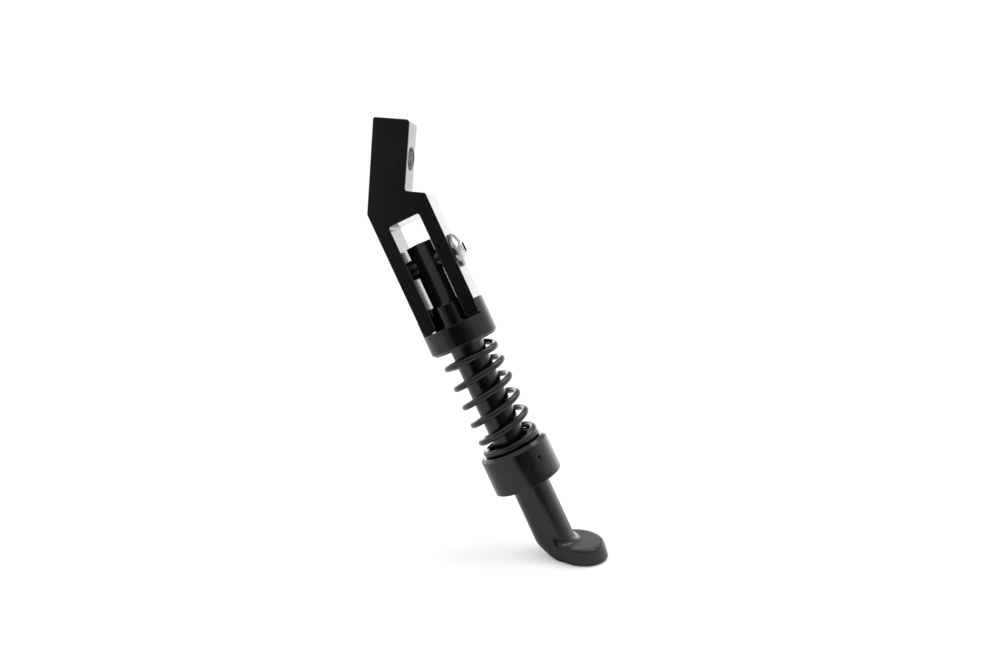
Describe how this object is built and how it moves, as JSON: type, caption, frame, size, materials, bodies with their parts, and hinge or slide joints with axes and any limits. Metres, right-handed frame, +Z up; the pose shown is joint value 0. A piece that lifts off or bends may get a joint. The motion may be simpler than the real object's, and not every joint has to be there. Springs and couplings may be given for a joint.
{
  "type": "kickstand",
  "caption": "Folding motorcycle kickstand: forked bracket with a bolt-on tab, swinging leg with a round foot, and a spring-loaded collar that holds the leg down.",
  "frame": {"origin": "centre of the frame bolt hole in the bracket's tab, at the middle of the tab's width and depth", "axes": "+Z up with the foot's sole flat on the ground, +X outboard (the side the foot reaches to), +Y to the rear (the way the leg folds)"},
  "size_m": [0.1176, 0.035, 0.2124],
  "materials": {
    "black_paint": "satin",
    "leg_paint": "gloss",
    "collar_paint": "gloss",
    "spring_black": "gloss",
    "black_oxide": "satin",
    "bright_steel": "gloss"
  },
  "bodies": {
    "bracket": {"mount_bracket": "black_paint", "pivot_bolt": "bright_steel"},
    "leg": {"leg_bar": "leg_paint", "return_spring": "spring_black", "lower_collar": "collar_paint", "collar_set_screw": "black_oxide", "foot_pad": "leg_paint", "foot_weld": "leg_paint"},
    "slider": {"sliding_collar": "collar_paint"}
  },
  "joints": [
    {"name": "leg_swing", "type": "hinge", "parent": "bracket", "child": "leg", "pos_m": [0.0161, 0.003, -0.04995], "axis": [0.9063, 0, 0.4226], "range_deg": [0, 90]},
    {"name": "collar_slide", "type": "slide", "parent": "leg", "child": "slider", "axis": [0.4226, 0, -0.9063], "range_m": [0, 0.009], "stiffness_N_per_m": 7000, "springref_m": -0.01, "deforming": ["return_spring"]}
  ]
}
